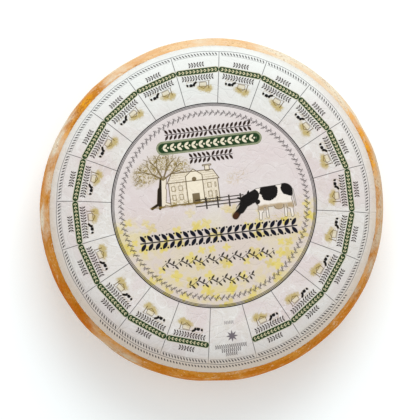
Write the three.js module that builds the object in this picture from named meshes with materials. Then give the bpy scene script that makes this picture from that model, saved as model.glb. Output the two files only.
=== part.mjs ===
// A whole wheel of washed-curd farmhouse cheese with a round paper label on its top face.
//
// The wheel is one solid turned about +Z: a flat face above and below, a round shoulder at each, and a side
// that bulges between them. The label is a thin sheet, cut round, laid on the top face and pressed down over
// the shoulder. Everything is in millimetres, with +Z up and the origin at the middle of the base.

import * as THREE from "three";

// The wheel
const wheelDiameter = 264; // across the bulge, at half height
const wheelHeight = 92;
const sideBulgeRadius = 80; // the curve of the side, seen in section
const topShoulderRadius = 40;
const baseShoulderRadius = 34; // the wheel's weight squares this edge a little
const leastSide = 4; // a shoulder stops at least this far from half height

// The label
const labelDiameter = 255; // as cut, before it is pressed over the shoulder
const labelThickness = 0.25;
const glueFilm = 0.1; // the coat of glue between the rind and the label

// How finely the curves are drawn
const turnSteps = 96;
const shoulderSteps = 9;
const bulgeSteps = 5; // from each shoulder to half height
const smallestStep = 0.01; // two points of an outline stay this far apart

const quarterTurn = Math.PI / 2;

// Points on an arc from one angle to another. Angle 0 points away from the axis and a quarter turn points up.
function arc(centre, radius, from, to, steps) {
  const points = [];
  for (let i = 0; i <= steps; i++) {
    const angle = from + ((to - from) * i) / steps;
    points.push(
      new THREE.Vector2(centre.x + radius * Math.cos(angle), centre.y + radius * Math.sin(angle)),
    );
  }
  return points;
}

// Half of the wheel's section above half height, with height counted from there: where the shoulder's arc is
// centred so that it touches both the flat face and the bulge, and the angle at which it meets the bulge.
function shoulder(wantedRadius) {
  const radius = Math.min(wantedRadius, wheelHeight / 2 - leastSide);
  const bulgeCentre = new THREE.Vector2(wheelDiameter / 2 - sideBulgeRadius, 0);
  const rise = wheelHeight / 2 - radius;
  const reach = Math.sqrt((sideBulgeRadius - radius) ** 2 - rise ** 2);
  const centre = new THREE.Vector2(bulgeCentre.x + reach, rise);
  return { radius, centre, bulgeCentre, meetsBulgeAt: Math.atan2(rise, reach) };
}

// The section from the middle of a flat face, out over its shoulder and down to half height. An offset moves
// it outwards, square to the surface.
function halfSection(wantedRadius, offset = 0) {
  const { radius, centre, bulgeCentre, meetsBulgeAt } = shoulder(wantedRadius);
  const faceCentre = new THREE.Vector2(0, wheelHeight / 2 + offset);
  return [
    faceCentre,
    ...arc(centre, radius + offset, quarterTurn, meetsBulgeAt, shoulderSteps),
    ...arc(bulgeCentre, sideBulgeRadius + offset, meetsBulgeAt, 0, bulgeSteps).slice(1),
  ];
}

// The first part of an outline, up to a length measured on the wheel's own surface. The outline and the
// surface have a point for each other, so that a label follows the rind wherever it ends.
function upToLength(outline, surface, length) {
  const points = [outline[0]];
  let left = length;
  for (let i = 1; i < surface.length; i++) {
    const step = surface[i].distanceTo(surface[i - 1]);
    if (left <= step + smallestStep) {
      points.push(outline[i - 1].clone().lerp(outline[i], Math.min(left / step, 1)));
      break;
    }
    points.push(outline[i]);
    left -= step;
  }
  return points;
}

// A solid of revolution about +Z from a profile that starts and ends on the axis and runs from its foot up.
function turned(profile, name, material) {
  const geometry = new THREE.LatheGeometry(profile, turnSteps);
  geometry.rotateX(quarterTurn);
  const mesh = new THREE.Mesh(geometry, material);
  mesh.name = name;
  mesh.position.z = wheelHeight / 2;
  return mesh;
}

// The cheese with its rind, which is one piece all through.
function cheese() {
  const top = halfSection(topShoulderRadius);
  const base = halfSection(baseShoulderRadius).map((p) => new THREE.Vector2(p.x, -p.y));
  const profile = [...base, ...top.reverse().slice(1)];
  const rind = new THREE.MeshStandardMaterial({ color: 0xdc9152, roughness: 0.5, metalness: 0 });
  return turned(profile, "cheese_wheel", rind);
}

// The round paper label, from its underside on the glue to its printed face.
function label() {
  const surface = halfSection(topShoulderRadius);
  const under = halfSection(topShoulderRadius, glueFilm);
  const face = halfSection(topShoulderRadius, glueFilm + labelThickness);
  const profile = [
    ...upToLength(under, surface, labelDiameter / 2),
    ...upToLength(face, surface, labelDiameter / 2).reverse(),
  ];
  const paper = new THREE.MeshStandardMaterial({ color: 0xece6e4, roughness: 0.6, metalness: 0 });
  return turned(profile, "paper_label", paper);
}

const wheel = new THREE.Group();
wheel.add(cheese(), label());

export default wheel;
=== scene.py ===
# %% [markdown]
# # A wheel of farmhouse cheese with a printed paper label
#
# The object is one round cheese of about five kilos. It was pressed in a round mould, washed, coated
# and ripened on a board, so its faces are flat, its side bulges and its coat is uneven. A round paper
# label is glued on the top face and pressed down over the shoulder.
#
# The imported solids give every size. This script makes the two surfaces that a person sees, the coated
# rind and the crinkled label, and works out what is printed on the paper.

import math
import random

import bpy
import numpy as np
from mathutils import Matrix, Vector, noise


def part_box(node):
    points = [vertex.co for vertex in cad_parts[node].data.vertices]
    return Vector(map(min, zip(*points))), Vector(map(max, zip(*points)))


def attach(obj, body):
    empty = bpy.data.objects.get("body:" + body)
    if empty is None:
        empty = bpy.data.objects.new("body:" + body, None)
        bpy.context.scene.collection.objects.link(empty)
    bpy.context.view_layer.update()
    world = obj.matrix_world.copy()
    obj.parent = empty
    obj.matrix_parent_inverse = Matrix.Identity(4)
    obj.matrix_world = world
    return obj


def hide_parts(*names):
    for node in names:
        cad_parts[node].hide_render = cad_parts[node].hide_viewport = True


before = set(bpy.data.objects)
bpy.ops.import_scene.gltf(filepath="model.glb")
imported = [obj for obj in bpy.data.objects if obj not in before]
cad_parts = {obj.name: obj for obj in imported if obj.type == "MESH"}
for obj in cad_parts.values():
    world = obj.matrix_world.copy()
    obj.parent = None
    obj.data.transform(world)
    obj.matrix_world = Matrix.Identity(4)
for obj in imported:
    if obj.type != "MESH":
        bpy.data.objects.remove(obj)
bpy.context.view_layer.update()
print("packed nodes:", sorted(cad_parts))

# %% [markdown]
# ## Sizes
#
# The wheel's girth and height, and how thick the paper is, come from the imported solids. The three
# curves of its section are the ones that its solid was turned with. Printed artwork is easiest to lay
# out in millimetres, so `MM` turns them into Blender's metres.

# %% Sizes
MM = 0.001
wheel_low, wheel_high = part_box("cheese_wheel")
label_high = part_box("paper_label")[1]

GIRTH = (wheel_high.x - wheel_low.x) / 2  # from the axis to the bulge
HEIGHT = wheel_high.z - wheel_low.z
BULGE = 80 * MM
TOP_SHOULDER = 40 * MM
BASE_SHOULDER = 34 * MM
GLUE = 0.1 * MM
PAPER = label_high.z - wheel_high.z - GLUE
LABEL_REACH = 127.5 * MM  # from the label's middle to its cut edge, along the paper
print(f"girth {GIRTH:.4f}, height {HEIGHT:.4f}, paper {PAPER * 1000:.2f} mm")

# %% [markdown]
# ## The section of the wheel
#
# Half of the section is a flat face, a round shoulder and the bulge of the side. A lathe could turn
# this line, but the label has to follow the same surface, so the line is a function: it gives the point
# at any length along the surface, and the direction that faces outwards there.


# %% The section as a function of length
def shoulder_of(radius):
    """Where a shoulder's arc is centred, out and above half height, and where it meets the bulge."""
    rise = HEIGHT / 2 - radius
    reach = math.sqrt((BULGE - radius) ** 2 - rise**2)
    return GIRTH - BULGE + reach, rise, math.atan2(rise, reach)


def half_length(radius):
    """The length of half the section, from the middle of a flat face to half height."""
    middle, _, join = shoulder_of(radius)
    return middle + radius * (math.pi / 2 - join) + BULGE * join


def half_section(along, radius):
    """Distance from the axis, height above half height and outward direction, at each length along it."""
    middle, rise, join = shoulder_of(radius)
    past_shoulder = (along - middle - radius * (math.pi / 2 - join)) / BULGE
    bulging = past_shoulder > 0
    angle = np.where(bulging, join - past_shoulder, math.pi / 2 - np.maximum(along - middle, 0) / radius)
    across, up = np.cos(angle), np.sin(angle)
    out = np.where(bulging, GIRTH - BULGE + BULGE * across, np.minimum(along, middle) + radius * across)
    high = np.where(bulging, BULGE * up, rise + radius * up)
    return out, high, across, up


print(f"half section: top {half_length(TOP_SHOULDER):.4f}, base {half_length(BASE_SHOULDER):.4f}")

# %% [markdown]
# ## How a real wheel strays from round
#
# A cheese leaves its mould a little out of round, sags while it ripens and is dented by hands and
# boards. One function gives this straying at any point, and both surfaces use it, so that the paper
# lies on the rind everywhere. It fades out on the flat faces, because the base has to rest flat on its
# board.

# %% Unevenness of the rind
draw = random.Random(41)
FLAT_UNTIL, UNEVEN_FROM = 84 * MM, 108 * MM  # how far out a face is flat, and where it is fully uneven
OVALS = [(2, 0.57 * MM, 40), (3, 0.20 * MM, 60), (5, 0.16 * MM, 10)]  # waves round, size, direction
LUMPS = [(34, 0.38 * MM), (75, 0.14 * MM), (190, 0.05 * MM)]  # lumps to the metre, size
DENTS = [
    (
        draw.uniform(0, 2 * math.pi),  # direction
        draw.uniform(0.25, 0.7) * HEIGHT,  # height
        draw.uniform(6, 15) * MM,  # width
        draw.uniform(0.3, 0.9) * MM,  # depth
    )
    for _ in range(11)
]


def smooth_step(value, low, high):
    """0 below `low`, 1 above `high`, and a smooth rise between."""
    share = np.clip((value - low) / (high - low), 0, 1)
    return share * share * (3 - 2 * share)


def unevenness(place, along):
    """How far the rind stands out from the turned section at each place, in metres."""
    turn = np.arctan2(place[:, 1], place[:, 0])
    total = np.zeros(len(place))
    for waves, size, direction in OVALS:
        total += size * np.cos(waves * (turn - math.radians(direction)))
    points = [Vector(p) for p in place]
    for scale, size in LUMPS:
        total += size * np.array([noise.noise(p * scale) for p in points])
    for direction, height, width, depth in DENTS:
        middle = np.array([GIRTH * math.cos(direction), GIRTH * math.sin(direction), height])
        total -= depth * np.exp(-(((place - middle) ** 2).sum(1)) / width**2)
    return total * smooth_step(along, FLAT_UNTIL, UNEVEN_FROM)


def skin(along, turn, radius, side, lift=0):
    """Places on the rind, or `lift` above it. `side` is 1 for the top half and -1 for the base."""
    out, high, across, up = half_section(along, radius)
    place = np.stack([out * np.cos(turn), out * np.sin(turn), HEIGHT / 2 + side * high], 1)
    outward = np.stack([across * np.cos(turn), across * np.sin(turn), side * up], 1)
    return place + outward * (unevenness(place, along) + lift)[:, None]


print("dents:", len(DENTS))

# %% [markdown]
# ## A mesh from rings
#
# Both surfaces are rings of points round the axis. Near the middle of a face a ring needs few points,
# and at the rim it needs many, so each ring may have twice as many points as the one inside it. A lathe
# or a grid would crowd thousands of slivers round the middle instead.


# %% Rings into faces
def fan(pole, ring):
    """Triangles from one point to every edge of a ring."""
    return [(pole, ring[i], ring[(i + 1) % len(ring)]) for i in range(len(ring))]


def between(inner, outer):
    """Faces between two rings whose numbers of points are equal, or one twice the other."""
    if len(inner) > len(outer):
        return [face[::-1] for face in between(outer, inner)]
    if len(inner) == 1:
        return fan(inner[0], outer)
    count = len(inner)
    step = len(outer) // count
    faces = []
    for i in range(count):
        here, there = inner[i], inner[(i + 1) % count]
        edge = [outer[(step * i + k) % len(outer)] for k in range(step + 1)]
        if step == 1:
            faces.append((here, edge[0], edge[1], there))
        else:
            faces += [(here, edge[0], edge[1]), (here, edge[1], there), (there, edge[1], edge[2])]
    return faces


def ring_points(rings):
    """From rings given as (length, number of points): all lengths and turns, and each ring's numbers."""
    along, turn, numbers = [], [], []
    for length, count in rings:
        numbers.append(list(range(len(along), len(along) + count)))
        along += [length] * count
        turn += [2 * math.pi * i / count for i in range(count)]
    return np.array(along), np.array(turn), numbers


def spaced(start, end, step, count):
    """Rings of `count` points from one length to another, about `step` apart, both ends included."""
    pieces = max(1, round(abs(end - start) / step))
    return [(start + (end - start) * i / pieces, count) for i in range(pieces + 1)]


def make_piece(name, points, faces):
    """A smooth-shaded object in the scene, made of the points and faces given."""
    mesh = bpy.data.meshes.new(name)
    mesh.from_pydata(points.tolist(), [], faces)
    mesh.polygons.foreach_set("use_smooth", [True] * len(mesh.polygons))
    mesh.update()
    piece = bpy.data.objects.new(name, mesh)
    bpy.context.scene.collection.objects.link(piece)
    print(f"{name}: {len(points)} points, {len(faces)} faces")
    return piece


# %% [markdown]
# ## The rind
#
# The rind is the coated outside of the cheese, all in one surface. Under the label and on the flat base
# it needs few rings. Down the side the rings are a little over a millimetre apart, close enough for the
# dents, the lumps and the small ripples of the coat to be real shape that shows at the outline.

# %% Rind mesh
TOP_FLAT = shoulder_of(TOP_SHOULDER)[0]  # where each flat face ends
BASE_FLAT = shoulder_of(BASE_SHOULDER)[0]
FINE_STEP = 1.25 * MM  # between two rings where the surface shows

top_rings = [(0, 1), (12 * MM, 45), (28 * MM, 90), (52 * MM, 180), (76 * MM, 360)]
top_rings += spaced(TOP_FLAT, 110 * MM, 3 * MM, 360)
top_rings += spaced(112 * MM, half_length(TOP_SHOULDER), FINE_STEP, 720)
base_rings = spaced(half_length(BASE_SHOULDER), BASE_FLAT, FINE_STEP, 720)[1:]
base_rings += [(84 * MM, 360), (60 * MM, 180), (32 * MM, 90), (14 * MM, 45), (0, 1)]

rind_along, rind_turn, rind_rings = ring_points(top_rings + base_rings)
top_count = sum(count for _, count in top_rings)
rind_points = np.concatenate([
    skin(rind_along[:top_count], rind_turn[:top_count], TOP_SHOULDER, 1),
    skin(rind_along[top_count:], rind_turn[top_count:], BASE_SHOULDER, -1),
])
rind_points[:, 2] = np.maximum(rind_points[:, 2], 0)  # nothing reaches below the board
rind_faces = [face for pair in zip(rind_rings, rind_rings[1:]) for face in between(*pair)]
rind = make_piece("coated_rind", rind_points, rind_faces)

# %% [markdown]
# ## The label
#
# A flat disc can't lie on a rounded shoulder without folding: at its edge this one has about 30 mm of
# paper too much. On the real label the spare paper goes into small tucks, each a narrow triangle that
# starts at the edge and runs inwards, and into fine ripples between them. Cloth simulation could find
# such tucks, but a list of tucks drawn by chance gives the same look in an instant and never pushes the
# paper through the rind.

# %% Tucks and ripples in the paper
TUCK_COUNT = 74
TUCKS = [
    (
        2 * math.pi * (i + draw.uniform(-0.4, 0.4)) / TUCK_COUNT,  # direction
        draw.choice([4, 5, 6, 8, 11, 15]) * MM,  # how far it runs in from the edge
        draw.uniform(0.9, 1.7) * MM,  # half its width at the edge
        draw.uniform(0.12, 0.42) * MM,  # how high it stands at the edge
        draw.choice([-1, 1]),  # which side it is folded to
    )
    for i in range(TUCK_COUNT)
]
RIPPLE_HEIGHT = 0.16 * MM
RIPPLES_ROUND, RIPPLES_OUT = 17, 60  # how close the ripples are, round the label and outwards


def cut_reach(turn):
    """How far the paper reaches: the disc was cut a little oval, and not quite about its print's middle."""
    return LABEL_REACH - 2.2 * MM * np.sin(turn) + 0.5 * MM * np.cos(2 * (turn - math.radians(40)))


def crinkle(along, turn):
    """How far the paper stands off its glue, in metres."""
    height = np.zeros(len(along))
    for direction, length, width, high, fold in TUCKS:
        reach = np.clip((along - cut_reach(turn) + length) / length, 0, 1)
        aside = (np.mod(turn - direction + math.pi, 2 * math.pi) - math.pi) * along * fold
        wide = width * (0.3 + 0.7 * reach)
        ridge = np.where(aside < 0, 1 + aside / wide, 1 - aside / (0.35 * wide))
        height = np.maximum(height, high * reach * np.clip(ridge, 0, 1))
    spots = [
        Vector((math.cos(t) * RIPPLES_ROUND, math.sin(t) * RIPPLES_ROUND, a * RIPPLES_OUT))
        for a, t in zip(along, turn)
    ]
    ripples = np.array([abs(noise.noise(s)) for s in spots])
    return height + RIPPLE_HEIGHT * ripples * smooth_step(along, 90 * MM, 118 * MM)


print("tucks:", len(TUCKS), "longest", max(t[1] for t in TUCKS))

# %% [markdown]
# The paper has a face and a back, so it is one closed surface: rings run out over the face, turn the
# cut edge and come back underneath. The same function that shaped the rind places both sides, one by
# the glue's thickness and one by glue and paper, so the label can't sink into the cheese or float off
# it.

# %% Label mesh
PRESSED_FROM = 88 * MM  # beyond this the paper is pressed over the shoulder
inner_rings = [(0, 1), (8 * MM, 45), (20 * MM, 90), (40 * MM, 180), (64 * MM, 360), (80 * MM, 720)]
face_rings = inner_rings + spaced(PRESSED_FROM, LABEL_REACH, FINE_STEP, 1440)
under_rings = spaced(LABEL_REACH, PRESSED_FROM, 3.5 * MM, 1440) + inner_rings[::-1]

label_along, label_turn, label_rings = ring_points(face_rings + under_rings)
beyond = np.maximum(label_along - PRESSED_FROM, 0) / (LABEL_REACH - PRESSED_FROM)
label_along += beyond * (cut_reach(label_turn) - LABEL_REACH)
face_count = sum(count for _, count in face_rings)
is_under = np.arange(len(label_along)) >= face_count
standing = np.where(is_under, GLUE, GLUE + PAPER) + crinkle(label_along, label_turn)
label_points = skin(label_along, label_turn, TOP_SHOULDER, 1, standing)
label_faces = [face for pair in zip(label_rings, label_rings[1:]) for face in between(*pair)]
label = make_piece("printed_label", label_points, label_faces)

# %% [markdown]
# The print has to bend over the shoulder with the paper. So each point of the mesh also keeps its place
# on the flat sheet, in a UV map. A second map is only for baking: there the back of the paper, which
# nobody sees, is shrunk into a corner of the square that the round label leaves free.

# %% Flat places of the label's points
SHEET = 130 * MM  # half the side of the square that the flat label is printed on
corners = np.zeros(len(label.data.loops), int)
label.data.loops.foreach_get("vertex_index", corners)
sizes = [len(face) for face in label_faces]
all_under = np.repeat([all(is_under[list(face)]) for face in label_faces], sizes)

spread = label_along + PAPER * is_under
flat = np.stack([spread * np.cos(label_turn), spread * np.sin(label_turn)], 1)[corners] / SHEET
BACK_SIZE, BACK_MIDDLE = 0.06, (0.932, 0.068)  # the shrunk back's size and place in the baking map

printed = label.data.uv_layers.new(name="flat_sheet")
printed.data.foreach_set("uv", (0.5 + flat / 2).ravel())
baked = label.data.uv_layers.new(name="OFBake")
shrunk = np.where(all_under[:, None], np.array(BACK_MIDDLE) + flat * BACK_SIZE, 0.5 + flat / 2)
baked.data.foreach_set("uv", shrunk.ravel())
print("printed square:", SHEET * 2, "m across")

# %% [markdown]
# ## Writing materials as sums
#
# A material is a tree of nodes. Written one node at a time it is long and hard to read, so `Wire` wraps
# the output of a node and lets Python's own signs add the Math nodes, and `Recipe.add` makes every
# other node.


# %% Recipe and Wire
def linear(red, green, blue):
    """A colour given in everyday 0 to 255 steps, as Blender's linear colour."""
    parts = [c / 255 for c in (red, green, blue)]
    return [*(p / 12.92 if p <= 0.04045 else ((p + 0.055) / 1.055) ** 2.4 for p in parts), 1.0]


class Wire:
    """One output of a node, or a number on its way to one. The signs + - * / add Math nodes."""

    def __init__(self, recipe, socket):
        self.recipe, self.socket = recipe, socket

    def __getitem__(self, output):
        return Wire(self.recipe, self.socket.node.outputs[output])

    def math(self, operation, *others, clamp=False):
        return self.recipe.math(operation, self, *others, clamp=clamp)

    def __add__(self, other):
        return self.math("ADD", other)

    def __sub__(self, other):
        return self.math("SUBTRACT", other)

    def __rsub__(self, other):
        return self.recipe.math("SUBTRACT", other, self)

    def __mul__(self, other):
        return self.math("MULTIPLY", other)

    def __truediv__(self, other):
        return self.math("DIVIDE", other)

    def __rtruediv__(self, other):
        return self.recipe.math("DIVIDE", other, self)

    def __abs__(self):
        return self.math("ABSOLUTE")

    __radd__ = __add__
    __rmul__ = __mul__


class Recipe:
    """The node tree of one material."""

    def __init__(self, name):
        self.material = bpy.data.materials.new(name)
        self.material.use_nodes = True
        self.tree = self.material.node_tree
        self.tree.nodes.clear()

    def add(self, kind, settings=None, sockets=None, output=0):
        """Makes a node: its settings first, then the values or wires of its sockets."""
        node = self.tree.nodes.new("ShaderNode" + kind)
        for name, value in (settings or {}).items():
            setattr(node, name, value)
        for name, value in (sockets or {}).items():
            if isinstance(value, Wire):
                self.tree.links.new(value.socket, node.inputs[name])
            else:
                node.inputs[name].default_value = value
        return Wire(self, node.outputs[output])

    def math(self, operation, *values, clamp=False):
        """A Math node, for anything that the signs don't write."""
        return self.add("Math", {"operation": operation, "use_clamp": clamp}, dict(enumerate(values)))

    def vector(self, operation, *values, output=0, **named):
        """A Vector Math node."""
        sockets = {**dict(enumerate(values)), **named}
        return self.add("VectorMath", {"operation": operation}, sockets, output)

    def blend(self, share, below, above):
        """Lays one colour over another, as far as `share` says."""
        return self.add("Mix", {"data_type": "RGBA"}, {0: share, 6: below, 7: above}, output=2)

    def between(self, value, low, high):
        """0 where value is at `low`, 1 at `high`, and a smooth rise between; low may be above high."""
        settings = {"interpolation_type": "SMOOTHSTEP"}
        return self.add("MapRange", settings, {"Value": value, "From Min": low, "From Max": high})

    def mottle(self, place, scale, detail=3.0, rough=0.55, warp=0.0):
        """Cloudy noise from 0 to 1, mostly near a half."""
        sockets = {"Vector": place, "Scale": scale, "Detail": detail, "Roughness": rough}
        return self.add("TexNoise", None, {**sockets, "Distortion": warp})

    def finish(self, piece, **sockets):
        """Feeds the shader, and gives the material to a piece."""
        named = {name.replace("_", " "): value for name, value in sockets.items()}
        shader = self.add("BsdfPrincipled", None, named)
        end = self.tree.nodes.new("ShaderNodeOutputMaterial")
        self.tree.links.new(shader.socket, end.inputs["Surface"])
        piece.data.materials.append(self.material)
        print(f"{self.material.name}: {len(self.tree.nodes)} nodes")


print("middle grey as a linear colour:", [round(c, 3) for c in linear(128, 128, 128)])

# %% [markdown]
# ## The coat of the rind
#
# The cheese is washed in brine and coated while it ripens, which dyes it from pale apricot to burnt
# orange. Where hands and the board have rubbed it, the coat is thin and pale, and a dry bloom sits on
# it as a whitish dust. Close under the label the coat stays thick and bright. Noise in two or three
# sizes gives the clouds, and a few soft patches put the strongest tones where this wheel has them.
# Those patches also paint light and shade: the pale and cream ones lie mostly on the upper side, where
# the light falls, and the darkest ones lie on the lower side, away from it.

# %% Places and clouds on the rind
coat = Recipe("coated_rind")
spot = coat.add("TexCoord", None, None, "Object")
height = coat.add("SeparateXYZ", None, {0: spot}, "Z")


def toward(clock, high):
    """A place on the side: `clock` degrees clockwise from +Y, seen from above, at a share of the height."""
    turn = math.radians(90 - clock)
    reach = GIRTH - BULGE + math.sqrt(BULGE**2 - ((high - 0.5) * HEIGHT) ** 2)
    return reach * math.cos(turn), reach * math.sin(turn), high * HEIGHT


RAGGED_BY = 0.05  # how far, in metres, noise moves the edge of a patch


def patches(places, soft):
    """1 inside any of the ragged patches, given as (clock, share of the height, radius in mm)."""
    total = None
    for clock, high, radius in places:
        near = coat.vector("DISTANCE", spot, toward(clock, high), output="Value") - radius * MM
        total = near if total is None else total.math("MINIMUM", near)
    return coat.between(total + (ragged - 0.5) * RAGGED_BY, soft, -soft)


ALONG_THE_SIDE = (38.0, 38.0, 150.0)  # drawn out level, as a brush leaves its marks
broad = coat.mottle(spot, 30.0, 4.0, 0.6)
ragged = coat.mottle(spot, 85.0, 5.0, 0.65, 0.4)
grain = coat.mottle(spot, 560.0, 3.0, 0.6)
streaks = coat.mottle(coat.vector("MULTIPLY", spot, ALONG_THE_SIDE), 1.0, 5.0, 0.62)
print("nodes so far:", len(coat.tree.nodes))

# %% [markdown]
# The colour is built up in layers: the brine's orange, the pale places, the bloom, and last the darkest
# places. The pale and cream places lie mostly on the upper side, where the light falls, and are partly
# painted light. The darkest lie mostly on the lower side and are partly painted shade, partly thick
# coat. Each list of patches gives a direction by the clock, a height and a size, so a patch is easy
# to move.

# %% Colours of the coat
ORANGE, TAN = linear(208, 138, 48), linear(190, 120, 38)
BURNT, AMBER = linear(196, 114, 8), linear(230, 158, 26)
APRICOT, CREAM = linear(230, 198, 154), linear(226, 214, 190)
GREYED, DUST = linear(204, 186, 158), linear(228, 208, 182)
RUSSET, SALMON = linear(190, 98, 2), linear(220, 164, 108)
SHADOWED = linear(150, 84, 14)

colour = coat.blend(coat.between(broad, 0.38, 0.62), ORANGE, TAN)
# The pale and cream patches lie mostly on the upper side, where the light falls: partly painted light,
# partly the coat's own tone.
pale = [(357, 0.6, 50), (22, 0.6, 44), (50, 0.6, 40), (338, 0.6, 26), (72, 0.5, 18), (84, 0.6, 16)]
colour = coat.blend(patches(pale, 0.012) * 0.9, colour, APRICOT)
peach = coat.between(streaks, 0.46, 0.60)
cream = [(4, 0.82, 9), (32, 0.6, 32), (42, 0.7, 24), (52, 0.6, 26), (62, 0.62, 22), (72, 0.56, 18)]
cream += [(82, 0.5, 13), (312, 0.5, 12), (299, 0.7, 14), (307, 0.6, 14), (273, 0.72, 8), (286, 0.8, 4)]
cream += [(330, 0.8, 9)]
creamy = patches(cream, 0.012)
colour = coat.blend(creamy * (1.0 - peach * 0.25), colour, CREAM)
faded = [(80, 0.6, 17), (88, 0.65, 12), (97, 0.7, 13), (106, 0.72, 13), (117, 0.74, 9), (128, 0.86, 4)]
faded += [(216, 0.68, 7), (225, 0.65, 10), (232, 0.75, 5)]
colour = coat.blend(patches(faded, 0.009) * 0.9, colour, GREYED)
colour = coat.blend(peach * (0.35 - creamy * 0.25), colour, ORANGE)
bloom = coat.between(ragged * 0.5 + grain * 0.25 + streaks * 0.25, 0.545, 0.60)
colour = coat.blend(bloom * 0.45, colour, DUST)
speck = coat.between(grain, 0.62, 0.74)
colour = coat.blend(speck * 0.45, colour, DUST)
# The darkest patches lie mostly on the lower side, away from the light: partly painted shade, partly the
# coat's own dark tone.
deepest = [(239, 0.6, 18), (250, 0.6, 16)]
dark_coat_and_shade = deepest + [(137, 0.6, 15), (150, 0.55, 20), (168, 0.6, 21), (183, 0.62, 11), (193, 0.66, 10)]
dark_coat_and_shade += [(127, 0.55, 11), (204, 0.7, 7), (262, 0.5, 12), (285, 0.6, 8)]
colour = coat.blend(patches(dark_coat_and_shade, 0.006) * coat.between(ragged, 0.25, 0.43), colour, BURNT)
bright = [(64, 0.8, 5), (70, 0.8, 6), (76, 0.8, 6), (81, 0.8, 5)]
bright += [(304, 0.83, 3), (308, 0.84, 3), (316, 0.76, 8)]
near_label = coat.between(height + (ragged - 0.5) * 0.012, 0.69 * HEIGHT, 0.76 * HEIGHT)
glowing = patches(bright, 0.006) * near_label * coat.between(ragged * 0.6 + grain * 0.4, 0.38, 0.52)
colour = coat.blend(glowing, colour, AMBER)
darkest_coat_and_shade = patches(deepest, 0.01)
colour = coat.blend(darkest_coat_and_shade * 0.7, colour, RUSSET)
rubbed = coat.between(streaks * 0.6 + grain * 0.4, 0.50, 0.64) * (1.0 - darkest_coat_and_shade * 0.8)
colour = coat.blend(rubbed * (0.5 - creamy * 0.3), colour, SALMON)
colour = coat.blend(speck * (0.3 - darkest_coat_and_shade * 0.2), colour, DUST)
colour = coat.blend(coat.between(grain * 0.6 + streaks * 0.4, 0.48, 0.36) * 0.6, colour, SHADOWED)
print("nodes so far:", len(coat.tree.nodes))

# %% [markdown]
# A ripened rind is dry and finely pitted, with little shine. The same clouds that colour it also raise
# it, and a Voronoi texture adds the pores. The dust of the bloom is the dullest part.

# %% Relief and gloss of the coat
pores = coat.add("TexVoronoi", None, {"Vector": spot, "Scale": 260.0, "Randomness": 1.0}, "Distance")
relief = ragged * 0.5 + grain * 0.22 + streaks * 0.18 + coat.between(pores, 0.02, 0.2) * 0.25
bump = coat.add("Bump", None, {"Strength": 0.55, "Distance": 0.0009, "Height": relief})
gloss = bloom * 0.25 + 0.6
coat.finish(rind, Base_Color=colour, Roughness=gloss, Normal=bump, Specular_IOR_Level=0.01)

# %% [markdown]
# ## Drawing with distances
#
# The label is printed in one go, so what is on it is one picture. An image could hold it, but a picture
# made of distances stays sharp at any size and can be changed by a number. Each shape is a rule that
# gives the distance from its edge, less than zero inside. `min` joins two shapes, `max` keeps what they
# share, and ink goes where the distance is below zero.

# %% Shapes as distances, in millimetres
paper = Recipe("printed_label")
sheet = paper.add("UVMap", {"uv_map": "flat_sheet"})
SIDE = 2 * SHEET / MM  # the printed square's side
EDGE = 0.16  # half the softness of a printed edge


def cloud(size, detail=3.0, rough=0.55, warp=0.0):
    """Cloudy noise on the flat sheet, with clouds of about `size` millimetres."""
    return paper.mottle(sheet, SIDE / size, detail, rough, warp)


clouds = cloud(36.0, 4.0, 0.55, 0.6)
tufts = cloud(9.0, 4.0, 0.6)
fibres = cloud(1.1, 3.0, 0.6)
twigs = cloud(1.6, 4.0, 0.7, 1.0)
veins = abs(cloud(22.0, 2.0, 0.5, 1.2) - 0.5)
flat_place = paper.vector("MULTIPLY_ADD", sheet, (SIDE, SIDE, 0.0), (-SIDE / 2, -SIDE / 2, 1.0))


def measured(place, facing, middle=(0.0, 0.0)):
    """How far a place lies beyond a point, in one direction.

    Every place has 1 as its third number, so one dot product both turns and shifts.
    """
    shift = -(middle[0] * facing[0] + middle[1] * facing[1])
    return paper.vector("DOT_PRODUCT", place, (*facing, shift), output="Value")


def placed(out, up):
    """A place on the sheet from two lengths."""
    return paper.add("CombineXYZ", None, {0: out, 1: up, 2: 1.0})


def disc(place, middle, radius):
    """A round shape."""
    return paper.vector("DISTANCE", place, (*middle, 1.0), output="Value") - radius


def oval(place, middle, radii, turn=0.0):
    """A shape with two radii, turned by some degrees."""
    lean, small = math.radians(turn), min(radii)
    along = measured(place, (math.cos(lean) / radii[0], math.sin(lean) / radii[0]), middle)
    beside = measured(place, (-math.sin(lean) / radii[1], math.cos(lean) / radii[1]), middle)
    reach = paper.vector("DISTANCE", placed(along, beside), (0.0, 0.0, 1.0), output="Value")
    return reach.math("MULTIPLY_ADD", small, -small)


def bar(place, middle, half, round_by=0.2):
    """An upright box of half size `half`, with everything within `round_by` of it added."""
    low = (middle[0] - half[0], middle[1] - half[1], 1.0)
    high = (middle[0] + half[0], middle[1] + half[1], 1.0)
    nearest = paper.vector("MINIMUM", paper.vector("MAXIMUM", place, low), high)
    return paper.vector("DISTANCE", place, nearest, output="Value") - round_by


def stroke(place, start, end, width):
    """A pen stroke from one point to another."""
    run = (end[0] - start[0], end[1] - start[1])
    long = math.hypot(*run)
    share = measured(place, (run[0] / long**2, run[1] / long**2), start).math("ADD", 0.0, clamp=True)
    step = paper.vector("SCALE", (*run, 0.0), Scale=share)
    nearest = paper.vector("ADD", step, (*start, 1.0))
    return paper.vector("DISTANCE", place, nearest, output="Value") - width / 2


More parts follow.
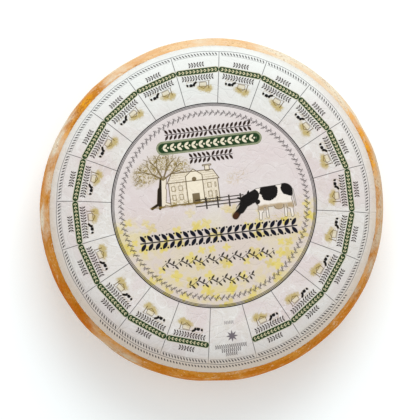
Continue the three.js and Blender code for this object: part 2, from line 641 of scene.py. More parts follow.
def leaf(place, middle, half_long, half_wide, turn=0.0):
    """A pointed leaf: what two discs share."""
    back = (half_long**2 - half_wide**2) / (2 * half_wide)  # from the leaf's middle to each disc's
    aside = (-math.sin(math.radians(turn)) * back, math.cos(math.radians(turn)) * back)
    first = (middle[0] + aside[0], middle[1] + aside[1], 1.0)
    second = (middle[0] - aside[0], middle[1] - aside[1], 1.0)
    one = paper.vector("DISTANCE", place, first, output="Value")
    other = paper.vector("DISTANCE", place, second, output="Value")
    return one.math("MAXIMUM", other) - (back + half_wide)


def joined(shapes):
    """What lies in any of the shapes."""
    total = None
    for shape in shapes:
        total = shape if total is None else total.math("MINIMUM", shape)
    return total


def shared(*shapes):
    """What lies in all of the shapes."""
    total = shapes[0]
    for shape in shapes[1:]:
        total = total.math("MAXIMUM", shape)
    return total


def line_of(shape, width):
    """Only the outline of a shape."""
    return abs(shape) - width / 2


def inked(shape, soft=EDGE):
    """1 inside a shape and 0 outside it."""
    return shape.math("MULTIPLY_ADD", -0.5 / soft, 0.5, clamp=True)


class Print:
    """The printed colour, built up layer by layer."""

    def __init__(self, colour):
        self.colour = colour

    def lay(self, share, ink, strength=1.0):
        share = share * strength if strength != 1.0 else share
        self.colour = paper.blend(share, self.colour, ink)


print("printed square in mm:", SIDE)

# %% [markdown]
# ## Paper and wash
#
# The sheet is printed to look like old parchment: a cloudy ground, rosy in some places and grey-white
# in others, with thin pale veins. Towards the top the paper is painted whiter, which is partly its own
# tone and partly painted light and sheen where the light falls. Inside the middle ring it turns to
# cream towards the bottom, and the outermost margin has soaked up grease from the rind, which makes it
# greyer and a little see-through. The greyer margin reaches further in at the bottom, which is painted
# shade.

# %% Ground of the label
from_middle = paper.vector("DISTANCE", flat_place, (0.0, 0.0, 1.0), output="Value")
across, upward = measured(flat_place, (1.0, 0.0)), measured(flat_place, (0.0, 1.0))

ROSY, CHALK = linear(215, 204, 202), linear(220, 217, 212)
CREAMY, WHITE = linear(211, 198, 186), linear(238, 238, 236)
GREASED, WARM_GREY = linear(212, 195, 176), linear(200, 192, 178)
STAIN, COOL_WHITE_AND_SHEEN = linear(190, 168, 128), linear(226, 230, 226)
ROSE_WASH = linear(217, 206, 205)

label_print = Print(paper.blend(paper.between(clouds, 0.36, 0.60), ROSY, CHALK))
label_print.lay(paper.between(tufts, 0.50, 0.70), WARM_GREY, 0.3)
label_print.lay(paper.between(fibres, 0.48, 0.30), STAIN, 0.3)
label_print.lay(paper.between(veins, 0.022, 0.0), WHITE, 0.42)
margin = paper.between(from_middle, 104.0, 112.0)
label_print.lay(margin, CHALK, 0.4)
# Towards the top the paper is painted whiter: partly its own tone, partly painted light and sheen.
label_print.lay(paper.between(upward + tufts * 20.0, 50.0, 112.0), COOL_WHITE_AND_SHEEN, 0.8)

RING = 76.3  # the middle picture's outer ring
inside = paper.between(from_middle, RING, RING - 0.6)
rosy = inside * paper.between(upward + tufts * 30.0, -4.0, 34.0)
creamy = inside * paper.between(upward + tufts * 26.0, 20.0, -14.0)
label_print.lay(rosy, ROSE_WASH, 0.6)
label_print.lay(creamy, CREAMY, 0.85)
print("ground laid inside a ring of", RING, "mm")

# %% [markdown]
# ## Meadow flowers
#
# The lower half of the picture is strewn with yellow flowers, printed pale so that the lines over them
# stay clear. A Voronoi texture deals out the places: each of its cells gives one middle point and one
# chance colour, which turns the flower, sizes it and says whether it is there at all. Two scatters of
# different sizes overlap as the printed ones do.


# %% Scattered flowers
def scatter(spacing, size, petals):
    """Flower heads about `spacing` apart: 1 inside the petals."""
    settings = {"voronoi_dimensions": "2D"}
    cell = paper.add("TexVoronoi", settings, {"Vector": sheet, "Scale": SIDE / spacing, "Randomness": 0.75})
    chance = paper.add("SeparateColor", None, {0: cell["Color"]})
    apart = paper.vector("MULTIPLY_ADD", cell["Position"], (-SIDE, -SIDE, 0.0), flat_place)
    here = paper.vector("ADD", apart, (SIDE / 2, SIDE / 2, 0.0))
    turn = measured(here, (0.0, 1.0)).math("ARCTAN2", measured(here, (1.0, 0.0)))
    turn = turn * (petals / 2) + chance["Red"] * 9.0
    reach = paper.vector("DISTANCE", here, (0.0, 0.0, 1.0), output="Value")
    outline = (abs(turn.math("COSINE")) * 0.62 + 0.42) * size * (chance["Green"] * 0.5 + 0.75)
    present = chance["Blue"].math("GREATER_THAN", 0.25)
    return inked(reach - outline, 0.5) * present


meadow = paper.between(upward + clouds * 34.0 + abs(across) * 0.12, 24.0, 0.0) * inside
side_growth = paper.between(from_middle, 44.0, 66.0) * paper.between(upward, 4.0, -10.0) * inside
strewn = meadow.math("MAXIMUM", side_growth)
HAZE, GROWTH = linear(220, 206, 136), linear(222, 204, 112)
PRIMROSE, BUTTERCUP = linear(220, 202, 100), linear(210, 190, 78)
label_print.lay(paper.between(clouds + tufts * 0.5, 0.70, 0.86) * strewn, HAZE, 0.2)
label_print.lay(side_growth * paper.between(tufts, 0.44, 0.60), GROWTH, 0.36)
label_print.lay(scatter(12.0, 3.5, 4) * strewn, PRIMROSE, 0.75)
label_print.lay(scatter(16.0, 4.2, 4) * strewn, BUTTERCUP, 0.6)
print("nodes of the label so far:", len(paper.tree.nodes))

# %% [markdown]
# ## The picture
#
# Over the flowers stands a small farm scene in pen and wash: an old tree, a barn with a cupola, a
# paddock fence and a black and white cow. It is a plain design of its own kind. The tree grows by a
# rule: each branch sends out two thinner ones, turned a little to either side.

# %% Tree
SEPIA, DARK_SEPIA = linear(104, 84, 28), linear(34, 24, 12)
OLIVE, STRAW, BARE = linear(146, 126, 44), linear(206, 190, 128), linear(230, 219, 200)
branches = []


def grow(start, angle, length, width, depth):
    """Adds a branch, and the two thinner ones that leave its tip."""
    end = (start[0] + length * math.cos(angle), start[1] + length * math.sin(angle))
    branches.append((start, end, width))
    if depth:
        for lean in (-0.42, 0.36):
            turned = angle + lean + draw.uniform(-0.15, 0.15)
            grow(end, turned, length * draw.uniform(0.62, 0.8), width * 0.58, depth - 1)


FORK = (-35.5, 23.0)  # where the trunk parts
for lean, length in ((2.55, 9.0), (1.95, 9.5), (1.15, 9.0), (0.55, 8.0)):
    grow(FORK, lean, length, 1.3, 2)

crown = joined([
    oval(flat_place, (-46.5, 29.0), (13.0, 9.0), 24),
    oval(flat_place, (-34.0, 35.5), (12.5, 7.5)),
    oval(flat_place, (-24.0, 32.0), (9.5, 7.0), -10),
])
within_crown = paper.between(crown + tufts * 8.0 - 4.0, 1.5, -3.0)
label_print.lay(paper.between(crown, 3.0, -6.0), STRAW, 0.30)
label_print.lay(paper.between(twigs, 0.50, 0.56) * within_crown, OLIVE, 0.9)
twiglets = abs(cloud(6.0, 3.0, 0.6, 1.4) - 0.5)
label_print.lay(paper.between(twiglets, 0.034, 0.010) * within_crown, SEPIA, 0.7)

trunk = joined([
    stroke(flat_place, (-38.6, 6.0), (-37.2, 15.0), 6.6),
    stroke(flat_place, (-37.2, 15.0), FORK, 5.0),
    stroke(flat_place, (-40.8, 5.4), (-46.0, 2.6), 1.7),
    stroke(flat_place, (-38.8, 4.4), (-40.2, 2.0), 1.6),
    stroke(flat_place, (-36.0, 5.4), (-31.0, 3.2), 1.9),
])
label_print.lay(inked(trunk), BARE)
label_print.lay(inked(line_of(trunk, 0.5)), SEPIA, 0.9)
shade = shared(trunk, measured(flat_place, (1.0, -0.1), (-38.0, 10.0)))
label_print.lay(inked(shade), DARK_SEPIA)
wood = joined(stroke(flat_place, *branch) for branch in branches)
label_print.lay(inked(wood), SEPIA, 0.85)
print("branches:", len(branches))

# %% [markdown]
# The barn is drawn with the same few shapes. Its boards are one upright line repeated by a Wrap node,
# which folds the whole width of the wall into one board's width.


# %% Barn
def repeated(value, every):
    """Folds a value into one stretch of `every`, from minus half of it to half of it."""
    return value.math("WRAP", every / 2, -every / 2)


def side_of(place, point, turn):
    """The distance beyond a straight edge through a point that faces `turn` degrees."""
    facing = (math.cos(math.radians(turn)), math.sin(math.radians(turn)))
    return measured(place, facing, point)


PLASTER, PORCH = linear(232, 221, 198), linear(234, 224, 202)
FAINT_BROWN, DOOR = linear(190, 166, 116), linear(92, 72, 30)
PEN_BROWN, EARTH = linear(84, 64, 20), linear(120, 96, 26)
wall = bar(flat_place, (-13.5, 11.6), (17.6, 7.4), 0.8)
roof = shared(
    side_of(flat_place, (0, 19.8), -90),
    side_of(flat_place, (0, 26.8), 90),
    side_of(flat_place, (-33.0, 19.8), 150),
    side_of(flat_place, (6.0, 19.8), 30),
)
gable = shared(
    side_of(flat_place, (0, 3.4), -90),
    side_of(flat_place, (-12.5, 28.6), 52),
    side_of(flat_place, (-12.5, 28.6), 128),
    bar(flat_place, (-12.5, 12.0), (5.4, 16.4), 0.8),
)
cupola = joined([
    bar(flat_place, (-2.0, 28.2), (0.9, 1.2), 0.8),
    stroke(flat_place, (-4.8, 30.4), (0.8, 30.4), 0.9),
])
barn = joined([wall, roof, gable, cupola])
label_print.lay(inked(barn), PLASTER, 0.85)

boards = abs(repeated(across + 0.4, 2.1)) - 0.08
label_print.lay(inked(shared(boards, wall)), SEPIA, 0.3)
slates = abs(repeated(upward, 1.8)) - 0.16
label_print.lay(inked(shared(slates, roof)) * paper.between(tufts, 0.3, 0.6), SEPIA, 0.7)
label_print.lay(paper.between(twigs, 0.50, 0.66) * inked(joined([wall, roof])), OLIVE, 0.5)
label_print.lay(inked(gable), PORCH)
shrubs = bar(flat_place, (-14.0, 4.0), (18.0, 0.2), 2.0)
label_print.lay(paper.between(twigs, 0.46, 0.58) * inked(shrubs, 1.2), OLIVE, 0.8)
far_tree = oval(flat_place, (19.0, 18.5), (13.0, 7.5), 20)
within_far_tree = paper.between(twiglets, 0.034, 0.010) * paper.between(far_tree, 0.0, -5.0)
label_print.lay(within_far_tree, FAINT_BROWN, 0.5)
upper = shared(bar(flat_place, (-13.5, 15.4), (16.0, 1.0), 0.7), abs(repeated(across + 12.5, 5.4)) - 1.3)
lower = shared(bar(flat_place, (-13.5, 8.8), (16.0, 1.2), 0.7), abs(repeated(across + 12.5, 5.4)) - 1.3)
windows = shared(joined([upper, lower]), 7.2 - abs(across + 12.5))
label_print.lay(inked(line_of(windows, 0.5)), SEPIA, 0.8)
openings = joined([bar(flat_place, (-12.5, 6.8), (2.4, 3.2), 0.4), disc(flat_place, (-12.5, 21.0), 1.7)])
label_print.lay(inked(openings), DOOR, 0.9)
outlines = joined(line_of(part, 0.6) for part in (wall, roof, gable, cupola))
label_print.lay(inked(outlines), PEN_BROWN, 0.95)
print("nodes of the label so far:", len(paper.tree.nodes))

# %% [markdown]
# The paddock fence is two sets of bars: level rails and upright posts, each one line repeated and cut
# to the length of the fence. Under it a rough stroke of brown grounds the whole scene.

# %% Fence and ground
rails = shared(abs(repeated(upward - 0.2, 2.4)) - 0.42, bar(flat_place, (4.5, 2.2), (18.0, 3.0)))
posts = shared(abs(repeated(across - 3.0, 8.6)) - 0.6, bar(flat_place, (4.5, 2.0), (18.0, 4.2)))
label_print.lay(inked(joined([rails, posts])), DARK_SEPIA, 0.95)
ground = stroke(flat_place, (-47.0, 2.8), (-8.0, 2.8), 1.0) + tufts * 2.6 - 1.3
label_print.lay(inked(ground, 0.5), EARTH, 0.9)
print("nodes of the label so far:", len(paper.tree.nodes))

# %% [markdown]
# The cow is a few rounded shapes joined into one body. Her black patches are ovals kept only where they
# share the body, so they end exactly at her outline.

# %% Cow
HIDE, UNDERSIDE, BLACK = linear(234, 226, 216), linear(150, 118, 48), linear(16, 12, 10)
BLAZE, MUZZLE, MEADOW_GRASS = linear(226, 214, 196), linear(74, 40, 16), linear(196, 176, 72)
body = joined([
    stroke(flat_place, (37.5, 1.4), (51.0, 1.8), 15.2),
    disc(flat_place, (53.2, 3.8), 6.2),
    stroke(flat_place, (33.5, 4.2), (24.0, 0.2), 8.6),
    stroke(flat_place, (22.6, -1.4), (19.0, -5.6), 6.4),
    stroke(flat_place, (19.0, -5.6), (14.8, -10.4), 4.2),
])
legs = joined([
    stroke(flat_place, (34.8, -3.0), (34.2, -8.0), 4.4),
    stroke(flat_place, (34.2, -6.0), (33.2, -14.4), 2.0),
    stroke(flat_place, (38.6, -4.0), (38.8, -13.6), 1.8),
    stroke(flat_place, (55.0, -0.5), (56.2, -7.0), 5.0),
    stroke(flat_place, (52.8, -3.0), (52.4, -14.0), 1.9),
    stroke(flat_place, (56.8, -5.0), (57.2, -14.4), 2.1),
    stroke(flat_place, (59.4, 4.6), (60.4, -7.0), 0.9),
    oval(flat_place, (48.0, -6.4), (3.4, 2.2)),
])
cow = joined([body, legs])
label_print.lay(inked(cow), HIDE)
label_print.lay(inked(line_of(cow, 0.5)), DARK_SEPIA, 0.75)
belly = shared(cow, bar(flat_place, (45.0, -6.4), (14.0, 1.0), 1.0)) + tufts * 3.0 - 1.5
label_print.lay(inked(belly, 0.8), UNDERSIDE, 0.75)
ragged_by = tufts * 7.0 - 3.5
black = shared(
    joined([
        stroke(flat_place, (29.4, 3.8), (22.0, -0.8), 9.6) + ragged_by * 0.4,
        stroke(flat_place, (22.0, -1.6), (13.0, -11.0), 8.0),
        oval(flat_place, (41.2, 5.0), (7.0, 6.2), -24) + ragged_by,
        oval(flat_place, (56.2, 5.8), (5.4, 6.2), 20) + ragged_by * 0.6,
        oval(flat_place, (31.8, -1.6), (2.6, 2.0), 10),
    ]),
    body,
)
ears = joined([leaf(flat_place, (19.6, 2.4), 2.4, 0.9, 150), leaf(flat_place, (26.0, 5.6), 2.4, 0.9, 70)])
label_print.lay(inked(joined([black, ears])), BLACK)
blaze = leaf(flat_place, (17.0, -4.2), 2.4, 0.45, 50)
label_print.lay(inked(blaze, 0.4), BLAZE, 0.8)
label_print.lay(inked(disc(flat_place, (15.0, -9.8), 2.6), 0.8), MUZZLE, 0.8)
tall_grass = paper.between(twigs, 0.50, 0.60)
tall_grass = tall_grass * paper.between(bar(flat_place, (46.0, -15.0), (15.0, 0.4), 1.0), 2.4, -0.6)
label_print.lay(tall_grass, MEADOW_GRASS, 0.7)
print("nodes of the label so far:", len(paper.tree.nodes))

# %% [markdown]
# ## Borders and garlands
#
# A label like this has wording in rows. Here each row is an ornament that fills the same space: a
# garland of pointed leaves on a thin stem, mirrored about its middle. One leaf is drawn, and folding
# the place across and up gives all the others.


# %% Garlands
def plot_from(place, middle):
    """The same place, measured from another middle."""
    return paper.vector("SUBTRACT", place, (*middle, 0.0))


def garland(plot, half_long, every, half_leaf, half_wide, lean, stem, berry=0.0):
    """A row of leaf pairs that point away from the row's middle."""
    out, up = abs(measured(plot, (1.0, 0.0))), abs(measured(plot, (0.0, 1.0)))
    one = placed(repeated(out - every / 2, every), up)
    turn = math.radians(lean)
    root = (half_leaf * math.cos(turn) * 0.9 - every * 0.25, half_leaf * math.sin(turn) + stem)
    shapes = [leaf(one, root, half_leaf, half_wide, lean), up - stem]
    if berry:
        shapes.append(disc(one, (-every * 0.3, root[1] + half_leaf * 0.55), berry))
    return shared(joined(shapes), out - half_long)


NAVY, BROWN = linear(8, 10, 28), linear(44, 28, 20)
for middle, half_long in (((2.0, 56.0), 32.4), ((2.0, 36.5), 16.2)):
    row = garland(plot_from(flat_place, middle), half_long, 3.24, 2.25, 0.95, 56, 0.3)
    label_print.lay(inked(row), BROWN)
WIDEST, WIDEST_EVERY = 58.8, 5.345  # half the row's length, and from leaf pair to leaf pair
row = garland(plot_from(flat_place, (0.8, -22.4)), WIDEST, WIDEST_EVERY, 3.3, 1.45, 54, 0.45, 0.7)
label_print.lay(inked(row), NAVY)
print("leaf pairs in the widest row:", round(2 * WIDEST / WIDEST_EVERY))


# %% [markdown]
# The green bands are round-ended bars with thin lines round them and pale leaves inside. The same
# function draws the big one in the middle and, later, the twenty small ones.

# %% Green bands
GREEN, MOSS = linear(26, 56, 24), linear(62, 92, 46)
IVORY, PARCHMENT = linear(236, 226, 200), linear(214, 206, 166)


def band(plot, half_long, half_high, core_high, every, half_leaf, ink):
    """Lays a green band with leaf pairs and beads inside, and fine lines between its core and its edge."""
    reach = bar(plot, (0.0, 0.0), (half_long - half_high, 0.0), 0.0)
    label_print.lay(inked(reach - half_high), MOSS)
    fine_lines = abs(repeated(reach - core_high, (half_high - core_high) / 2)) - 0.13
    border = shared(fine_lines, core_high - reach, reach - half_high)
    label_print.lay(inked(border, 0.1), IVORY, 0.8)
    label_print.lay(inked(reach - core_high), GREEN)
    out, up = measured(plot, (1.0, 0.0)), abs(measured(plot, (0.0, 1.0)))
    one = placed(repeated(out, every), up)
    leaves = leaf(one, (-0.12 * every, half_leaf * 0.62), half_leaf, half_leaf * 0.42, 38)
    beads = disc(one, (0.3 * every, 0.0), half_leaf * 0.3)
    pale = shared(joined([leaves, beads]), abs(out) - (half_long - half_high * 0.8))
    label_print.lay(inked(pale), ink, 0.95)


band(plot_from(flat_place, (1.8, 46.4)), 39.6, 5.1, 3.6, 5.4, 2.2, IVORY)
print("nodes of the label so far:", len(paper.tree.nodes))

# %% [markdown]
# The lightest rows are vines. A sine gives the waving stem. Dividing by its steepness keeps the stem's
# width even where it climbs, and the pen leaves it a little thicker on the way down. The second half of
# every wave is the first turned over, so one bend with two leaves and a berry makes the whole vine.


# %% Leafy vines
def leafy_vine(out, up, every, tall, pen, long, wide):
    """A waving stem, thick where it runs down and thin where it runs up, with leaves in every bend."""
    phase = out * (2 * math.pi / every)
    swing, rise = phase.math("COSINE"), phase.math("SINE")
    steep = (swing * swing * (tall * 2 * math.pi / every) ** 2 + 1.0).math("SQRT")
    width = (swing.math("MULTIPLY_ADD", -0.5, 0.5, clamp=True) * 1.2 + 0.6) * pen
    stem = abs(up - rise * tall) / steep - width
    bend = placed(repeated(out - every / 4, every / 2), up * rise.math("SIGN"))
    outer = leaf(bend, (long * 0.55, tall + long * 0.75), long, wide, 50)
    inner = leaf(bend, (-long * 0.35, tall - long * 1.05), long * 0.8, wide, -62)
    berry = disc(bend, (-long * 0.7, tall + long * 0.6), wide * 0.7)
    return joined([stem, outer, inner, berry])


def vine_row(middle, half_long):
    """A straight piece of vine."""
    plot = plot_from(flat_place, middle)
    out, up = measured(plot, (1.0, 0.0)), measured(plot, (0.0, 1.0))
    return shared(leafy_vine(out, up, 10.0, 1.3, 0.28, 2.1, 0.72), abs(out) - half_long)


INK = linear(30, 24, 20)
label_print.lay(inked(vine_row((-1.8, -40.0), 42.0)), INK, 0.95)
label_print.lay(inked(vine_row((-1.1, -56.0), 24.5)), INK, 0.95)
print("nodes of the label so far:", len(paper.tree.nodes))

# %% [markdown]
# ## Rings and portions
#
# Round the picture run a vine and three fine rings. Outside them the label is ruled into twenty
# portions, so that the wheel can be cut evenly. For what repeats round the label, the place is measured
# as an angle and a radius, and the angle is folded into one portion.

# %% Rings
PORTIONS = 20
PORTION = 2 * math.pi / PORTIONS
angle = upward.math("ARCTAN2", across)

VINE, VINE_WAVES = 69.2, 104
GREY_INK, RING_INK = linear(66, 58, 60), linear(14, 13, 17)
vine = leafy_vine(angle * VINE, from_middle - VINE, 2 * math.pi * VINE / VINE_WAVES, 1.0, 0.24, 0.9, 0.32)
label_print.lay(inked(vine), GREY_INK, 0.85)
print("waves of the vine:", VINE_WAVES)

triple = joined([
    line_of(from_middle - RING, 0.85),
    line_of(from_middle - RING + 1.0, 0.5),
    line_of(from_middle - RING + 1.85, 0.45),
])
label_print.lay(inked(triple), RING_INK)

# %% [markdown]
# The portions were printed a little off the middle picture, so they are measured from a middle of their
# own. One rule is drawn, half a portion away from the folded angle's middle, and that gives all twenty.

# %% Rules between the portions
RULE_INK = linear(50, 48, 52)
ruled_place = plot_from(flat_place, (-0.3, -1.0))
outwards = paper.vector("DISTANCE", ruled_place, (0.0, 0.0, 1.0), output="Value")
angle = measured(ruled_place, (0.0, 1.0)).math("ARCTAN2", measured(ruled_place, (1.0, 0.0)))
folded = repeated(angle + math.pi / 2, PORTION)
to_rule = (PORTION / 2 - abs(folded)) * outwards
OUTER_LINE = 119.4
scallop = folded * folded * 26.0  # the outer line dips a little at every rule
ruled = shared(RING - from_middle, outwards - OUTER_LINE, to_rule - 0.24)
label_print.lay(inked(ruled), RULE_INK, 0.9)
print("portions:", PORTIONS)

# %% [markdown]
# Each portion has the same small design: a tiny farm scene, a row of leaves, a green band and a shorter
# row. It is drawn once, upright with its foot towards the edge of the label. The portion at the bottom
# is different, so the shared design stops at its rules.

# %% One portion, twenty times
ZERO_AT = 99.6  # the design's own zero, measured from the middle, which is up for the design
plot = placed(folded.math("SINE") * outwards, ZERO_AT - folded.math("COSINE") * outwards)
special = paper.math("LESS_THAN", abs(angle + math.pi / 2), PORTION / 2)
plain = 1.0 - special


def lay_plain(share, ink, strength=1.0):
    """Inks all the portions but the bottom one."""
    label_print.lay(share * plain, ink, strength)


TINY_LEAVES, TINY_WALL = linear(182, 160, 84), linear(214, 200, 158)
TINY_LINES, TINY_HIDE, TINY_BLACK = linear(96, 72, 24), linear(150, 124, 66), linear(14, 12, 12)
tiny_crown = joined([oval(plot, (-6.6, 11.6), (3.4, 2.6), 30), oval(plot, (-2.2, 10.8), (4.2, 2.2), -20)])
lay_plain(paper.between(tiny_crown + twigs * 5.0, 3.6, 1.2), TINY_LEAVES, 0.85)
tiny_barn = joined([
    line_of(bar(plot, (-3.0, 7.8), (2.0, 0.9), 0.7), 0.4),
    stroke(plot, (-6.2, 8.9), (-3.2, 11.0), 0.45),
    stroke(plot, (-3.2, 11.0), (0.2, 8.9), 0.45),
    stroke(plot, (-7.6, 5.6), (-7.0, 11.0), 0.6),
    stroke(plot, (-8.4, 5.4), (3.0, 5.8), 0.35),
])
lay_plain(inked(bar(plot, (-3.0, 7.8), (2.0, 0.9), 0.7)), TINY_WALL, 0.5)
lay_plain(inked(tiny_barn), TINY_LINES, 0.9)
tiny_cow = joined([
    bar(plot, (6.2, 7.2), (1.9, 0.4), 1.4),
    stroke(plot, (4.4, 7.6), (2.2, 5.8), 1.6),
    stroke(plot, (4.8, 6.0), (4.6, 4.2), 0.7),
    stroke(plot, (8.2, 6.0), (8.4, 4.2), 0.7),
])
lay_plain(inked(line_of(tiny_cow, 0.3)), TINY_HIDE, 0.7)
tiny_patches = joined([
    stroke(plot, (3.8, 7.6), (2.0, 5.6), 2.2),
    disc(plot, (6.0, 8.0), 1.35),
    disc(plot, (8.8, 7.8), 1.0),
])
lay_plain(inked(shared(tiny_cow, tiny_patches)), TINY_BLACK)

top_row = garland(plot_from(plot, (0.4, 2.5)), 12.0, 2.0, 1.2, 0.54, 58, 0.2)
low_row = garland(plot_from(plot, (0.2, -8.1)), 6.0, 2.0, 1.2, 0.54, 58, 0.2)
lay_plain(inked(joined([top_row, low_row])), BROWN, 0.95)
print("nodes of the label so far:", len(paper.tree.nodes))

# %% [markdown]
# The band function lays several inks, so it can't be kept off the bottom portion ink by ink. Instead
# the colour from before it is kept, and put back there.

# %% Bands of the portions
without_bands = label_print.colour
band(plot_from(plot, (0.0, -2.6)), 16.5, 2.55, 2.1, 2.75, 1.0, PARCHMENT)
label_print.colour = paper.blend(plain, without_bands, label_print.colour)
print("nodes of the label so far:", len(paper.tree.nodes))

# %% [markdown]
# The bottom portion of the label has no small scene: a short row of leaves over one plain open flower,
# in the thin grey ink of the small print, with rows of small leaves under them.

# %% The bottom portion
FLOWER_INK = linear(92, 82, 92)
top_row = garland(plot_from(plot, (0.4, 12.8)), 3.6, 1.2, 0.7, 0.24, 60, 0.1)


def lay_bottom(share, ink, strength=1.0):
    """Inks only the bottom portion."""
    label_print.lay(share * special, ink, strength)


lay_bottom(inked(top_row), FLOWER_INK, 0.9)
flower_head = joined(leaf(plot, (1.6, 2.6), 4.4, 0.9, 45 * i) for i in range(4))
lay_bottom(inked(flower_head), FLOWER_INK, 0.9)
for row, half_row in ((-4.8, 12.0), (-8.0, 7.5), (-11.2, 4.5)):
    small_row = garland(plot_from(plot, (0.0, row)), half_row, 1.5, 0.85, 0.36, 62, 0.14)
    lay_bottom(inked(small_row), GREY_INK, 0.95)
print("nodes of the label so far:", len(paper.tree.nodes))

# %% [markdown]
# The outer line stands on a ring of tiny leaves, and the lower edge has a second ring outside it. The
# rind's grease has soaked into the margin, so its tone is laid first and the inks stay dark over it. The
# greyer margin reaches further in towards the bottom, which is painted shade.


# %% Edge of the print
def round_plot(count, radius):
    """One of `count` equal stretches of a ring: along it in X, and outwards in Y."""
    return placed(repeated(angle, 2 * math.pi / count) * radius, outwards - radius)


# A greyer margin from the grease, reaching further in at the bottom as painted shade.
grease_and_lower_shade = paper.between(from_middle + tufts * 9.0 - upward * 0.04, 119.0, 133.0)
label_print.lay(grease_and_lower_shade, GREASED, 0.8)

TINY, TINY_COUNT = 116.8, 320  # the ring's radius, and its leaves
EDGE_INK, LINE_INK = linear(48, 44, 44), linear(66, 68, 72)
tiny = round_plot(TINY_COUNT, TINY)
tiny_leaves = joined([leaf(tiny, (0.0, 0.1), 1.75, 0.52, 62), abs(outwards - TINY + 1.7) - 0.1])
tiny_leaves = shared(tiny_leaves, 1.5 - to_rule)
label_print.lay(inked(tiny_leaves, 0.2), EDGE_INK, 0.92)
label_print.lay(inked(abs(outwards + scallop - OUTER_LINE - 0.3) - 0.25), LINE_INK, 0.9)
LOWEST, LOWEST_SPREAD = 122.2, math.radians(51)  # the second ring's radius, and how far it runs each way
lowest = leaf(round_plot(TINY_COUNT, LOWEST), (0.0, 0.0), 1.4, 0.55, 62)
low_side = abs(angle + math.pi / 2 + 0.02) - LOWEST_SPREAD
label_print.lay(inked(shared(lowest, low_side * LOWEST), 0.2), EDGE_INK, 0.92)
print("tiny leaves round the label:", TINY_COUNT)

# %% [markdown]
# Thin paper pasted on a rough rind is crumpled all over, too finely to be worth modelling. A Bump node
# gives that relief from noise: soft crumples, a few sharper creases and the fibres of the sheet. The
# paper has almost no shine, and a little less where it is rubbed.

# %% Label material
crumple = cloud(12.0, 5.0, 0.62, 1.2)
creases = paper.between(abs(cloud(20.0, 1.0, 0.5, 1.5) - 0.5), 0.0, 0.05)
relief = crumple * 0.55 + creases * 0.16 + fibres * 0.10
bump = paper.add("Bump", None, {"Strength": 0.6, "Distance": 0.0017, "Height": relief})
dull = paper.between(tufts, 0.35, 0.65) * 0.12 + 0.44
paper.finish(label, Base_Color=label_print.colour, Roughness=dull, Normal=bump, Specular_IOR_Level=0.12)

# %% [markdown]
# ## Floor, light and camera
#
# The wheel stands on a plain white floor, a disc so wide that its edge is never seen close by. A flat
# colour would do, and a trace of mottle keeps it from looking dead. A faint glow of its own lifts it to
# white.


# %% Floor
FLOOR = 5.0  # the radius of the floor
floor_rings = [(0, 1), (0.3, 48), (1.2, 96), (FLOOR, 96)]
floor_along, floor_turn, floor_numbers = ring_points(floor_rings)
floor_out = [floor_along * np.cos(floor_turn), floor_along * np.sin(floor_turn)]
floor_points = np.stack([*floor_out, 0 * floor_along], 1)
floor_faces = [face for pair in zip(floor_numbers, floor_numbers[1:]) for face in between(*pair)]
floor = make_piece("studio_floor", floor_points, floor_faces)
ground_paint = Recipe("studio_floor")
even = ground_paint.mottle(ground_paint.add("TexCoord", None, None, "Object"), 3.0)
ground_paint.finish(
    floor,
    Base_Color=ground_paint.blend(even, linear(244, 252, 254), linear(247, 254, 255)),
    Roughness=0.9,
    Specular_IOR_Level=0.1,
    Emission_Color=(1.0, 1.0, 1.0, 1.0),
    Emission_Strength=0.12,
)

# %% [markdown]
# A wide soft light stands behind the wheel, high enough to wash over the top face, and an even white
# surround fills the shadows, so only a pale soft one is left in front.

# %% Lights
surround = bpy.data.worlds.new("surround")
surround.use_nodes = True
sky = surround.node_tree.nodes["Background"]
sky.inputs["Color"].default_value = (0.98, 0.99, 1.0, 1.0)
sky.inputs["Strength"].default_value = 0.76
bpy.context.scene.world = surround


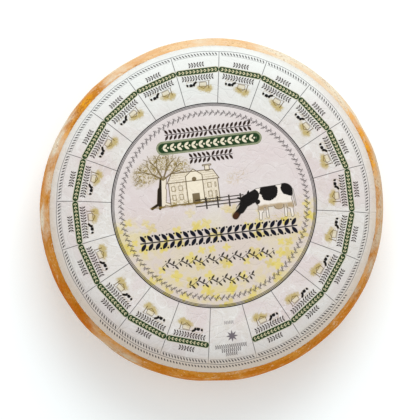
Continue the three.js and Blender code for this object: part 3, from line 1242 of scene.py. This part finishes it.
def soft_light(name, clock, elevation, distance, size, power, colour):
    """A square soft light that faces the wheel, `clock` degrees clockwise from +Y."""
    lamp = bpy.data.lights.new(name, "AREA")
    lamp.shape, lamp.size, lamp.energy, lamp.color = "SQUARE", size, power, colour
    stand = bpy.data.objects.new(name, lamp)
    turn, rise = math.radians(90 - clock), math.radians(elevation)
    level = math.cos(rise)
    toward_light = Vector((math.cos(turn) * level, math.sin(turn) * level, math.sin(rise)))
    aim = Vector((0, 0, HEIGHT / 2))
    facing = toward_light.to_track_quat("Z", "Y").to_matrix().to_4x4()
    stand.matrix_world = Matrix.Translation(aim + toward_light * distance) @ facing
    bpy.context.scene.collection.objects.link(stand)


soft_light("window", 14, 48, 2.0, 1.3, 20.0, (1.0, 1.0, 1.0))

# %% [markdown]
# The label is what a buyer reads, so the camera looks down at it from a little over a metre with a long
# lens. It leans a few degrees from straight down, and the print is turned a little, as a hand would put
# the wheel down.

# %% Camera
LENS_DISTANCE = 1.304
LEAN = math.radians(4.64)  # how far the view leans from straight down
LEAN_TOWARDS = Vector((-0.497, -0.868, 0.0))
TURN = math.radians(7.0)  # how far the print is turned in the view
UP = Vector((math.sin(TURN), math.cos(TURN), 0.0))

camera_data = bpy.data.cameras.new("camera")
camera_data.lens = 145.0
camera = bpy.data.objects.new("camera", camera_data)
bpy.context.scene.collection.objects.link(camera)
back = (LEAN_TOWARDS.normalized() * math.sin(LEAN) + Vector((0, 0, math.cos(LEAN)))).normalized()
right = UP.cross(back).normalized()
above = back.cross(right)
aim = Vector((-0.0017, -0.0001, HEIGHT / 2))
turned = Matrix((right, above, back)).transposed().to_4x4()
camera.matrix_world = Matrix.Translation(aim + back * LENS_DISTANCE) @ turned
bpy.context.scene.camera = camera
bpy.context.scene.view_settings.view_transform = "Standard"
print("camera at", [round(c, 3) for c in camera.matrix_world.translation])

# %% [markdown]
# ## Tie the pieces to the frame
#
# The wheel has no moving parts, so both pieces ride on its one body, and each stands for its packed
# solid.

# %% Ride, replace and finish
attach(rind, "root")
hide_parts("cheese_wheel")
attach(label, "root")
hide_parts("paper_label")
